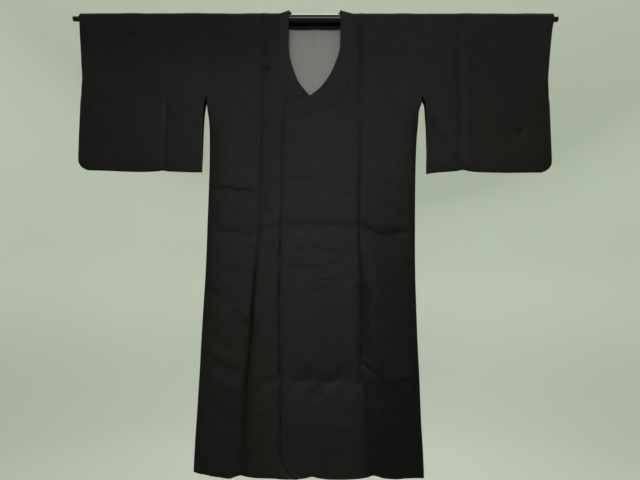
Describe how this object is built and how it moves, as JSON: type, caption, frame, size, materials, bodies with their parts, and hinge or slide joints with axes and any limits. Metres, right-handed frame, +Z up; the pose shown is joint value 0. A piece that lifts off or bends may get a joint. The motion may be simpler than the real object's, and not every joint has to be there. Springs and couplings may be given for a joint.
{
  "type": "women's kimono coat with a curved v neck, hung on a rack's rod",
  "caption": "Long front-lapped kimono coat with square sleeves and a narrow collar band, spread flat over a round lacquered rod that passes through both sleeves.",
  "frame": {"origin": "middle of the rod, on its axis, where the rack holds the rod up", "axes": "+X along the rod to the wearer's left, -Y the coat's front, +Z up"},
  "size_m": [1.374, 0.0426, 1.2693],
  "materials": {
    "coat_cloth": "near-black figured silk, soft low sheen",
    "lining_cloth": "plain grey-mauve silk, smooth",
    "rod_lacquer": "black lacquer, high gloss"
  },
  "bodies": {
    "root": {"right_body": "coat_cloth", "right_front_panel": "coat_cloth", "right_sleeve": "coat_cloth", "left_body": "coat_cloth", "left_front_panel": "coat_cloth", "left_sleeve": "coat_cloth", "collar": "coat_cloth", "right_back_lining": "lining_cloth", "left_back_lining": "lining_cloth", "rod": "rod_lacquer"}
  },
  "joints": []
}
